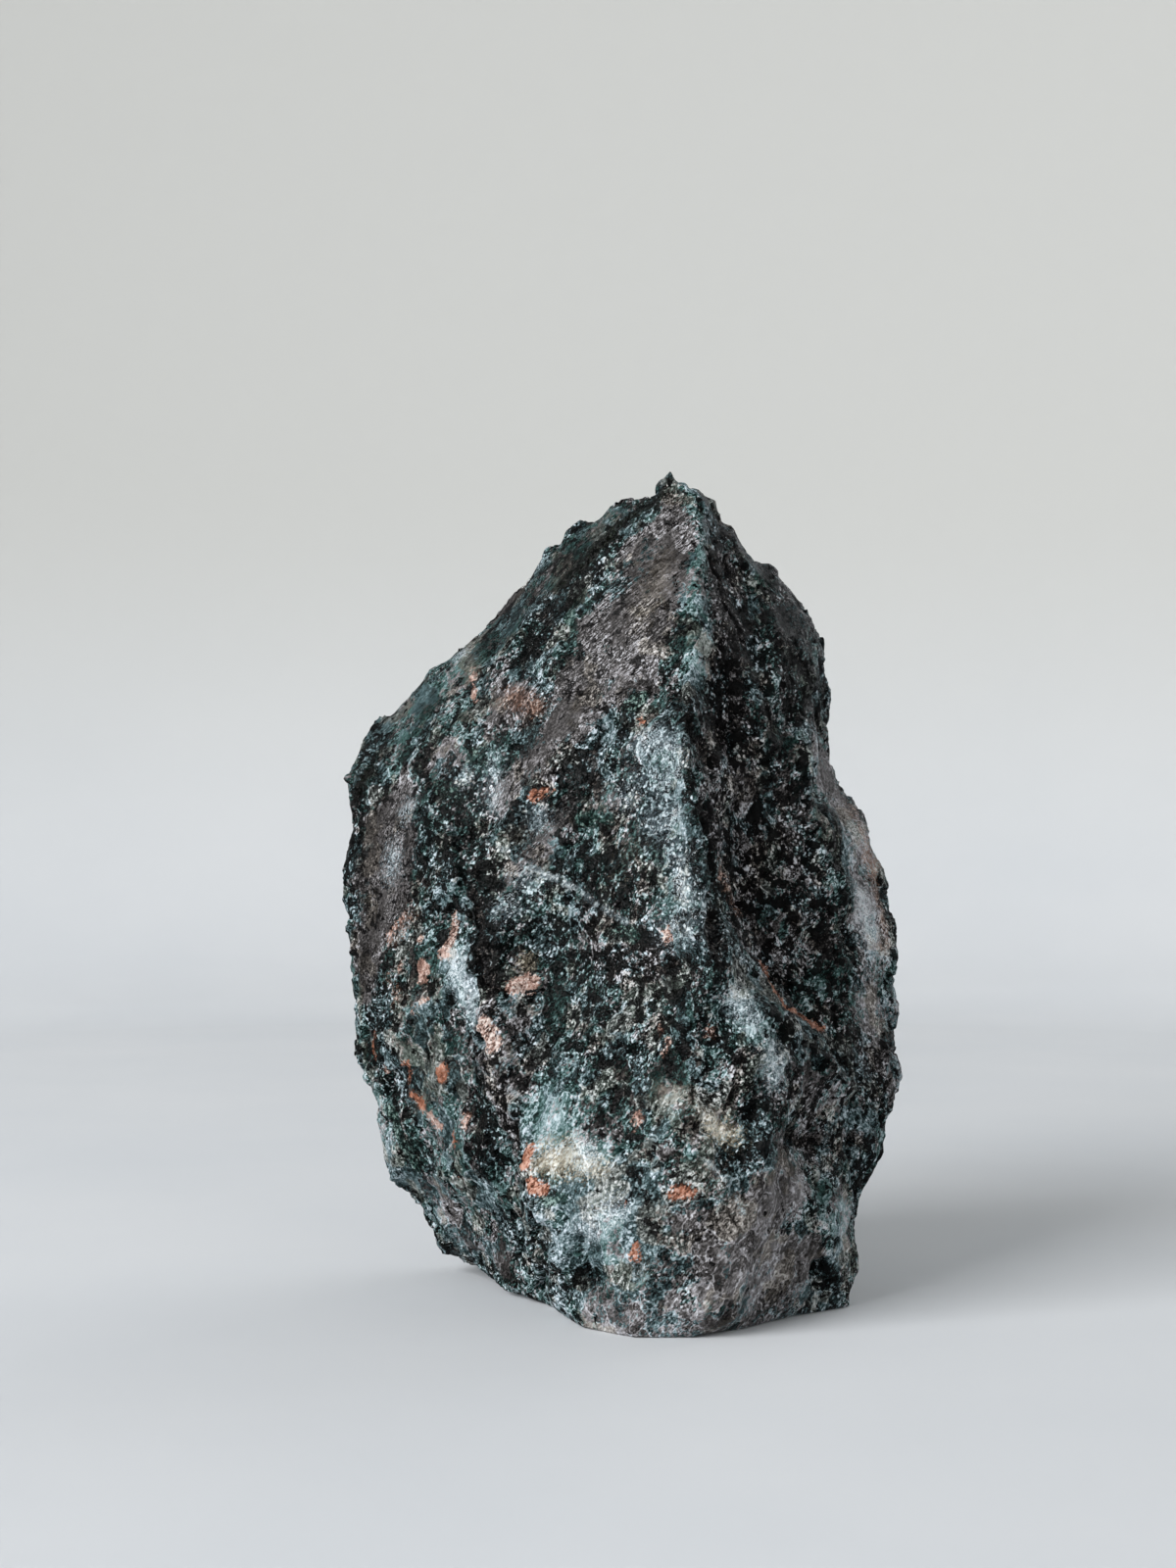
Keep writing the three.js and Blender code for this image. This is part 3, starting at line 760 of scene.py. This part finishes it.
def skin(node):
    """The stone's points, triangles and the values that its material reads, by name."""
    tree = stone_tree(node)
    mesh = bmesh.new()
    mesh.from_mesh(node.data)
    bmesh.ops.remove_doubles(mesh, verts=mesh.verts, dist=1e-6)
    bmesh.ops.triangulate(mesh, faces=mesh.faces)
    mesh.verts.index_update()
    points = np.array([vertex.co for vertex in mesh.verts]) / METRES
    faces = np.array([[vertex.index for vertex in face.verts] for face in mesh.faces])
    mesh.free()
    for _ in range(SPLITS):
        points, faces = split_edges(points, faces)
    edges = edges_of(faces)
    points = smoothed(points, edges, ROUNDING)
    unseen = smooth_step(normals_of(points, faces)[:, 1], *UNSEEN_BORDER)
    cleavage = 1 - smooth_step(nearest_stroke(points, tree, CLEAVAGE), *CLEAVAGE_BORDER)
    cleavage = np.maximum(cleavage, unseen * soft_patches(points, **UNSEEN_FACES))
    evened = cleavage * (1 - (1 - UNSEEN_SMOOTHING) * unseen)
    points = smoothed(points, edges, CLEAVAGE_ROUNDING, evened)
    normals = normals_of(points, faces)
    values = painted(points, tree, unseen)
    height, tone = broken_relief(points, cleavage, values["broken"])
    height = height + unseen * (1 - cleavage) * ledges(points, **UNSEEN_STEP)
    height = height - stroke_relief(points, tree, CUTS, CUT_BORDER)
    height = height + stroke_relief(points, tree, RIDGES, RIDGE_BORDER)
    fade = smooth_step(points[:, 2], 0, GROUND_FADE)
    moved = points + normals * (fade * height)[:, None]
    moved[:, 2] = np.maximum(moved[:, 2], 0)
    # The material paints shade from the height: lighter on raised places, darker in hollows.
    values.update({"height": height, "tone": tone, "cleavage": cleavage})
    return moved, faces, values


def scattered(points):
    """How far each point is outside the nearest scattered patch of each stain, by the stain's name."""
    grained = along_grain(points)
    nearest = {name: np.full(len(points), SCATTER_SIZE) for name in SCATTERED}
    for cells, middles in nearest_cells(grained, SCATTER_SIZE, SCATTER_SEED):
        drawn = lattice_random(cells, SCATTER_SEED + 501)  # says which stain the cell has, if any
        growth = 0.5 + lattice_random(cells, SCATTER_SEED + 502)
        away = np.linalg.norm(grained - middles, axis=1)
        for name, (share, radius) in SCATTERED.items():
            present = (drawn >= 0) & (drawn < share)
            outside = np.minimum(nearest[name], away - radius * growth)
            nearest[name] = np.where(present, outside, nearest[name])
            drawn = drawn - share
    return nearest


def painted(points, tree, unseen):
    """What the strokes say at each point: the zones' values, and the distances to the stains."""
    ragged = layered_noise(points, RAGGED_BORDERS)
    light = layered_noise(points, REST_LIGHTS, REST_LIGHT)
    light = light + unseen * (layered_noise(points, UNSEEN_LIGHTS) + UNSEEN_LIFT)
    mauve = REST_MAUVE + MAUVE_RANGE * soft_patches(points, **MAUVE_PATCHES)
    mauve = mauve + unseen * (1 - mauve) * soft_patches(points, **UNSEEN_MAUVE)
    crisp = 1 - DULLNESS * unseen * soft_patches(points, **DULL_PATCHES)
    zones = np.stack([light, mauve, crisp, np.ones(len(points))])
    for stroke, *numbers in ZONES.values():
        share = 1 - smooth_step(stroke_distance(points, tree, stroke) + ragged, *ZONE_BORDER)
        zones += share * (np.array(numbers)[:, None] - zones)
    values = dict(zip(("light", "mauve", "crisp", "broken"), zones))
    values["lean"] = nearest_stroke(points, tree, LEFT_LEANING) + LEAN_RAGGEDNESS * ragged
    back = unseen > 0
    patches = scattered(points[back])  # by the stain's name
    for name, stain in STAINS.items():
        values[name] = nearest_stroke(points, tree, stain["strokes"])
        if name in SCATTERED:
            outside = patches[name] + SCATTER_MARGIN * (1 - unseen[back])
            values[name][back] = np.minimum(values[name][back], outside)
    return values


def stone_mesh(node):
    points, faces, values = skin(node)
    mesh = bpy.data.meshes.new("stone")
    mesh.from_pydata((points * METRES).tolist(), [], faces.tolist())
    for name, numbers in values.items():
        attribute = mesh.attributes.new(name, "FLOAT", "POINT")
        attribute.data.foreach_set("value", numbers.astype(np.float32))
    mesh.polygons.foreach_set("use_smooth", np.ones(len(faces), bool))
    return mesh


def thinned(piece):
    """Keeps the sharp places of a piece and thins its even ones, down to the most triangles it may have."""
    thin = piece.modifiers.new("thin", "DECIMATE")
    thin.ratio = MOST_TRIANGLES / len(piece.data.polygons)
    graph = bpy.context.evaluated_depsgraph_get()
    mesh = bpy.data.meshes.new_from_object(piece.evaluated_get(graph))
    piece.modifiers.clear()
    piece.data = mesh
    return piece


def add_piece(name, mesh):
    piece = bpy.data.objects.new(name, mesh)
    bpy.context.scene.collection.objects.link(piece)
    return piece


# Materials

def colour(code):
    """The shader's colour for a written colour such as "#20302e"."""
    parts = [int(code[i:i + 2], 16) / 255 for i in (1, 3, 5)]
    linear = [c / 12.92 if c <= 0.04045 else ((c + 0.055) / 1.055) ** 2.4 for c in parts]
    return (*linear, 1)


class Nodes:
    """A material's nodes: each method adds one and gives its result."""

    def __init__(self, name):
        self.material = bpy.data.materials.new(name)
        self.material.use_nodes = True
        self.tree = self.material.node_tree
        self.shader = self.tree.nodes["Principled BSDF"]

    def add(self, kind, inputs, output=0, **settings):
        node = self.tree.nodes.new(kind)
        for key, value in settings.items():
            setattr(node, key, value)
        for key, value in inputs.items():
            self.feed(node.inputs[key], value)
        return node.outputs[output]

    def feed(self, socket, value):
        if isinstance(value, bpy.types.NodeSocket):
            self.tree.links.new(value, socket)
        else:
            socket.default_value = value

    def math(self, operation, *values):
        return self.add("ShaderNodeMath", dict(enumerate(values)), operation=operation)

    def centred(self, value):
        return self.math("SUBTRACT", value, 0.5)

    def total(self, start, *terms):
        """The start, and each value times its weight, added up."""
        for value, weight in terms:
            start = self.math("MULTIPLY_ADD", value, weight, start)
        return start

    def vector(self, operation, *values, output=0):
        return self.add("ShaderNodeVectorMath", dict(enumerate(values)), output, operation=operation)

    def attribute(self, name):
        return self.add("ShaderNodeAttribute", {}, "Fac", attribute_name=name)

    def noise(self, where, size, detail=2.0, roughness=0.5, output="Fac"):
        inputs = {"Vector": where, "Scale": 1 / size, "Detail": detail, "Roughness": roughness}
        return self.add("ShaderNodeTexNoise", inputs, output)

    def cells(self, where, size, feature="F1"):
        """The outputs of a pattern of random cells, by name."""
        inputs = {"Vector": where, "Scale": 1 / size}
        return self.add("ShaderNodeTexVoronoi", inputs, feature=feature).node.outputs

    def step(self, value, low, high):
        """Goes smoothly from 0 at low to 1 at high."""
        inputs = {"Value": value, "From Min": low, "From Max": high}
        return self.add("ShaderNodeMapRange", inputs, interpolation_type="SMOOTHSTEP")

    def share(self, value, name):
        return self.step(value, *SHARES[name])

    def ramp(self, factor, stops):
        node = self.tree.nodes.new("ShaderNodeValToRGB")
        self.feed(node.inputs["Fac"], factor)
        elements = node.color_ramp.elements
        while len(elements) < len(stops):
            elements.new(0.5)
        for element, (position, code) in zip(elements, sorted(stops)):
            element.position = position
            element.color = colour(code)
        return node.outputs["Color"]

    def mix(self, factor, first, second):
        node = self.tree.nodes.new("ShaderNodeMix")
        node.data_type = "RGBA"
        for key, value in {0: factor, 6: first, 7: second}.items():
            self.feed(node.inputs[key], value)
        return node.outputs[2]


def parts_of(n, cell):
    """The three random numbers of a cell."""
    return [n.add("ShaderNodeSeparateColor", {"Color": cell}, part) for part in ("Red", "Green", "Blue")]


def warp(n, where, size, reach, detail):
    """A soft random shift everywhere, by up to half the reach each way."""
    shift = n.noise(where, size, detail, output="Color")
    return n.vector("MULTIPLY_ADD", shift, (reach, reach, reach), (-reach / 2, -reach / 2, -reach / 2))


def leaned(n, where, degrees):
    return n.add("ShaderNodeVectorRotate", {"Vector": where, "Angle": math.radians(-degrees)},
                 rotation_type="Y_AXIS")


def slimmed(n, where, slim):
    return n.vector("MULTIPLY", where, (1.0, 1.0, slim))


def facets(n, where, size, steepness, below):
    """The cells' random colours, and their facets' height over what lies below, each at its own slope."""
    cells = n.cells(where, size)
    slope = n.vector("SUBTRACT", cells["Color"], (0.5, 0.5, 0.5))
    away = n.vector("SUBTRACT", where, cells["Position"])
    tilt = n.vector("DOT_PRODUCT", slope, away, output="Value")
    return cells["Color"], n.math("MULTIPLY_ADD", tilt, steepness, below)


def leaning_marks(n, turned, bend):
    """The marks that lean with their crystal, by name."""
    flaky = n.vector("ADD", slimmed(n, turned, FLAKE_SLIM), bend)
    needles = n.noise(slimmed(n, turned, NEEDLE_SLIM), **NEEDLES)
    relief = n.math("MULTIPLY", needles, NEEDLE_HEIGHT)
    flake, relief = facets(n, flaky, FLAKE_SIZE, FLAKE_STEEPNESS, relief)
    chip, relief = facets(n, slimmed(n, turned, CHIP_SLIM), CHIP_SIZE, CHIP_STEEPNESS, relief)
    marks = {"needles": needles, "relief": relief}
    marks["bands"] = n.noise(n.vector("ADD", slimmed(n, turned, BAND_SLIM), bend), **BANDS)
    marks["flake edge"] = n.cells(flaky, FLAKE_SIZE, "DISTANCE_TO_EDGE")["Distance"]
    marks["flake tone"], marks["flake offset"], marks["flake hue"] = parts_of(n, flake)
    marks["chip tone"], marks["chip offset"], marks["chip gloss"] = parts_of(n, chip)
    return marks


def rock_pattern(n):
    """Everything that the rock's light, colour and gloss are worked out from, by name."""
    where = n.vector("SCALE", n.add("ShaderNodeTexCoord", {}, "Object"))
    where.node.inputs["Scale"].default_value = 1 / METRES
    rock = {name: n.attribute(name) for name in ("light", "mauve", "crisp", "broken", "cleavage")}

    # Crystals with their own tone, contrast and hue.
    wide = n.vector("ADD", slimmed(n, where, CRYSTAL_SLIM), warp(n, where, **SWIRL))
    crystal = parts_of(n, n.cells(wide, CRYSTAL_SIZE)["Color"])
    rock["crystal tone"], rock["crystal contrast"], rock["crystal hue"] = crystal
    rock["crystal edge"] = n.cells(wide, CRYSTAL_SIZE, "DISTANCE_TO_EDGE")["Distance"]

    # Flakes, chips, needles and bands, that lean one way or the other.
    bend = warp(n, where, **BEND)
    left, right = [leaned(n, where, lean) for lean in LEANS.values()]
    lean = n.total(n.attribute("lean"), (n.centred(rock["crystal hue"]), LEAN_SPREAD))
    turned = n.mix(n.math("GREATER_THAN", lean, 0.0), left, right)
    rock.update(leaning_marks(n, turned, bend))

    # Grit, soft patches, and dark glassy ones and pale crusts with sharp ragged edges.
    ragged = n.vector("ADD", where, bend)
    rock["grit"] = n.noise(where, **GRIT)
    rock["specks"] = n.share(rock["grit"], "specks")
    rock["patches"] = n.noise(where, **PATCHES)
    rock["glass"] = n.share(n.noise(ragged, **GLASS), "glass")
    rock["crust"] = n.share(n.noise(ragged, **CRUST), "crust")
    rock["spots"] = n.noise(ragged, **SPOTS)
    rock["striae"] = n.noise(slimmed(n, leaned(n, where, STRIAE_LEAN), STRIA_SLIM), **STRIAE)
    rock["earth"] = n.noise(where, **EARTH)
    rock["open seams"] = n.share(n.noise(where, **OPEN_SEAMS), "open seams")
    return rock


def weighed(n, marks, weights, start=0.0):
    """The start, and each mark times its weight, added up."""
    return n.total(start, *[(marks[name], weight) for name, weight in weights.items()])


def varied(n, rock, weights, start=0.0):
    """The start, and how far each mark is from its middle times its weight, added up."""
    return weighed(n, {name: n.centred(rock[name]) for name in weights}, weights, start)


def rock_light(n, rock):
    """How bright the rock is, from black at 0 to white at 1, before its black spots."""
    uneven = n.total(1.0, (rock["cleavage"], -CLEAVAGE_EVENNESS))
    striated = n.math("MAXIMUM", rock["cleavage"], n.share(rock["crystal contrast"], "striated crystal"))
    bright_chips = n.math("SUBTRACT", n.math("POWER", rock["chip tone"], CHIP_RARITY), CHIP_MIDDLE)
    fine = weighed(n, {
        "needles": n.math("MULTIPLY", n.centred(rock["needles"]), uneven),
        "specks": n.centred(rock["specks"]),
        "chips": n.math("MULTIPLY", bright_chips, uneven),
        "striae": n.math("MULTIPLY", n.centred(rock["striae"]), striated),
    }, FINE_MARKS)
    fine = n.math("MULTIPLY", fine, n.total(LEAST_CONTRAST, (rock["crystal contrast"], CONTRAST_RANGE)))
    fine = n.math("MULTIPLY", fine, n.total(1.0, (rock["glass"], -GLASS_EVENNESS)))
    broad = weighed(n, rock, PATCH_MARKS, varied(n, rock, BROAD_MARKS))
    broad = n.math("MULTIPLY", broad, n.total(1 - BROKEN_SHARE, (rock["broken"], BROKEN_SHARE)))
    light = n.total(n.math("ADD", broad, MEAN_LIGHT), (fine, rock["crisp"]))

    # The zone, painted shade from the relief that lightens raised places and darkens hollows, painted shade
    # in the gaps between flakes, and frost on the pale zones.
    frosted = n.share(rock["light"], "frosted zone")
    light = weighed(n, {
        "zone": n.centred(rock["light"]),
        "painted relief shade": n.math("MAXIMUM", n.attribute("height"), DEEPEST_SHADE),
        "block": n.centred(n.attribute("tone")),
        # painted shade darkens the gaps between the broken flakes
        "gap": n.math("MULTIPLY", n.share(rock["flake edge"], "gap"), rock["broken"]),
        "frost": n.math("MULTIPLY", frosted, n.share(rock["needles"], "frost")),
    }, SKIN_MARKS, light)

    # Thin pale seams along parts of the crystals' and the flakes' edges.
    open_share = rock["open seams"]
    for name, (width, paleness) in SEAMS.items():
        line = n.math("MULTIPLY", open_share, uneven)
        line = n.math("MULTIPLY", n.step(rock[name], SEAM_FADE * width, width), line)
        light = n.total(light, (line, paleness))
        open_share = n.math("SUBTRACT", 1.0, open_share)
    return n.math("MULTIPLY", light, EXPOSURE)


def black_spots(n, rock):
    """Where glassy black spots lie, fewer where the rock is pale and more where it is broken and crisp."""
    return n.share(weighed(n, rock, SPOT_MARKS, rock["spots"]), "spots")


def rock_colour(n, rock, light):
    """Green or teal rock with mauve and earthy parts."""
    teal_share = n.share(varied(n, rock, TEAL_MARKS, rock["crystal hue"]), "teal")
    colours = n.mix(teal_share, n.ramp(light, GREEN), n.ramp(light, TEAL))
    mauve_share = n.share(varied(n, rock, MAUVE_MARKS, rock["mauve"]), "mauve")
    colours = n.mix(mauve_share, colours, n.ramp(light, MAUVE))
    earthy_share = n.share(varied(n, rock, EARTHY_MARKS, rock["earth"]), "earthy")
    return n.mix(n.math("MULTIPLY", earthy_share, EARTHY_STRENGTH), colours, n.ramp(light, EARTHY))


def stained(n, rock, colours, light):
    """Stains and grains, with painted shade and painted glints among them: their edges follow the flakes,
    and the wider ones fray out in flecks.
    """
    offset = varied(n, rock, BORDER_MARKS)
    fray = varied(n, rock, FRAY_MARKS)
    for name, stain in STAINS.items():
        edge = stain["edge"]
        border = n.total(n.attribute(name), (offset, stain.get("ragged", 1.0)), (fray, edge))
        share = n.step(border, STAIN_SOFTNESS * edge, -STAIN_SOFTNESS * edge)
        share = n.math("MULTIPLY", share, stain["strength"])
        colours = n.mix(share, colours, n.ramp(light, list(zip(STAIN_LEVELS, stain["colours"]))))
    return colours


def rock_material():
    n = Nodes("apatite_rock")
    rock = rock_pattern(n)
    whole = rock_light(n, rock)
    spot = black_spots(n, rock)
    light = n.math("MULTIPLY", whole, n.total(1.0, (spot, -SPOT_DARKNESS)))
    colours = stained(n, rock, rock_colour(n, rock, light), whole)

    # Facets that lie at their own slopes, and a fine grit.
    relief = n.total(rock["relief"], (rock["grit"], GRIT_HEIGHT), (spot, -SPOT_DEPTH))
    relief = n.math("MULTIPLY", relief, n.total(1.0, (rock["cleavage"], -CLEAVAGE_FLATNESS)))
    normal = n.add("ShaderNodeBump", {"Height": relief, "Distance": METRES, "Strength": 1.0})

    rock["pale"] = n.share(light, "pale")
    roughness = weighed(n, rock, ROUGHNESS_MARKS, GLASSY_ROUGHNESS)
    n.feed(n.shader.inputs["Base Color"], colours)
    n.feed(n.shader.inputs["Roughness"], roughness)
    n.feed(n.shader.inputs["Normal"], normal)
    n.shader.inputs["IOR"].default_value = APATITE_IOR
    n.shader.inputs["Specular IOR Level"].default_value = SPECULAR_LEVEL
    return n.material


def floor_material():
    n = Nodes("pale_floor")
    where = n.add("ShaderNodeTexCoord", {}, "Object")
    mottle = n.noise(where, 0.09, detail=4.0)
    floor = n.ramp(mottle, [(0.3, "#d2d5d9"), (0.7, "#d8dadd")])
    height = n.add("ShaderNodeSeparateXYZ", {"Vector": where}, "Z")
    paint = n.mix(n.step(height, 0.0, 0.2), floor, colour("#c6c6c3"))
    n.feed(n.shader.inputs["Base Color"], paint)
    n.shader.inputs["Roughness"].default_value = 0.9
    n.shader.inputs["Specular IOR Level"].default_value = 0.2
    return n.material


# The studio

COVE_RADIUS = 0.62
COVE_BEND = 0.2
COVE_HEIGHT = 0.9
COVE_SIDES = 96
FLAT_RINGS = 5
BEND_STEPS = 12
STONE_MIDDLE = Vector((0, 0, 0.06))
WHITE = (0.98, 0.99, 1.0)
COLD = (0.95, 0.98, 1.0)
SKY = (0.93, 0.96, 1.0, 1)
SKY_STRENGTH = 0.16
LIGHTS = {
    "key": {"direction": (-0.85, -0.7, 0.5), "distance": 1.4, "size": 0.9, "power": 27, "tint": WHITE},
    "front": {"direction": (0.6, -0.95, 0.15), "distance": 1.6, "size": 1.0, "power": 3, "tint": WHITE},
    "back": {"direction": (0.8, 0.9, 0.7), "distance": 1.6, "size": 1.2, "power": 6, "tint": COLD},
}


def cove():
    """A round pale floor that bends up into a wall."""
    flat = COVE_RADIUS - COVE_BEND
    profile = [(flat * k / FLAT_RINGS, 0.0) for k in range(1, FLAT_RINGS + 1)]
    for k in range(BEND_STEPS + 1):
        angle = math.pi / 2 * k / BEND_STEPS
        profile.append((flat + COVE_BEND * math.sin(angle), COVE_BEND * (1 - math.cos(angle))))
    profile.append((COVE_RADIUS, COVE_HEIGHT))
    points = [(0, 0, 0)]
    for radius, z in profile:
        for k in range(COVE_SIDES):
            angle = 2 * math.pi * k / COVE_SIDES
            points.append((radius * math.cos(angle), radius * math.sin(angle), z))
    faces = [(0, 1 + k, 1 + (k + 1) % COVE_SIDES) for k in range(COVE_SIDES)]
    for ring in range(len(profile) - 1):
        first = 1 + ring * COVE_SIDES
        for k in range(COVE_SIDES):
            following = (k + 1) % COVE_SIDES
            above = first + COVE_SIDES
            faces.append((first + k, above + k, above + following, first + following))
    mesh = bpy.data.meshes.new("cove")
    mesh.from_pydata(points, [], faces)
    mesh.polygons.foreach_set("use_smooth", np.ones(len(faces), bool))
    mesh.materials.append(floor_material())
    piece = add_piece("cove", mesh)
    piece.visible_shadow = False
    piece.visible_glossy = False
    return piece


def soft_light(name, direction, distance, size, power, tint):
    """A square light that looks at the stone's middle from a direction."""
    light = bpy.data.lights.new(name, "AREA")
    light.shape = "SQUARE"
    light.size = size
    light.energy = power
    light.color = tint
    lamp = bpy.data.objects.new(name, light)
    back = Vector(direction).normalized()
    lamp.location = STONE_MIDDLE + back * distance
    lamp.rotation_euler = back.to_track_quat("Z", "Y").to_euler()
    lamp.visible_camera = False
    bpy.context.scene.collection.objects.link(lamp)


def studio():
    cove()
    for name, light in LIGHTS.items():
        soft_light(name, **light)
    world = bpy.data.worlds.new("studio")
    world.use_nodes = True
    background = world.node_tree.nodes["Background"]
    background.inputs["Color"].default_value = SKY
    background.inputs["Strength"].default_value = SKY_STRENGTH
    bpy.context.scene.world = world
    bpy.context.scene.view_settings.view_transform = "Standard"


def photo_camera():
    data = bpy.data.cameras.new("camera")
    data.sensor_width = SENSOR
    data.lens = FOCAL_PIXELS * SENSOR / PHOTO_HEIGHT
    data.clip_start = 0.01
    camera = bpy.data.objects.new("camera", data)
    camera.location = Vector(EYE) * METRES
    camera.rotation_euler = (math.pi / 2, 0, 0)
    bpy.context.scene.collection.objects.link(camera)
    bpy.context.scene.camera = camera


photo_camera()
stone = thinned(add_piece("stone", stone_mesh(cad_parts[NODE])))
stone.data.materials.append(rock_material())
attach(stone, "root")
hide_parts(NODE)
studio()
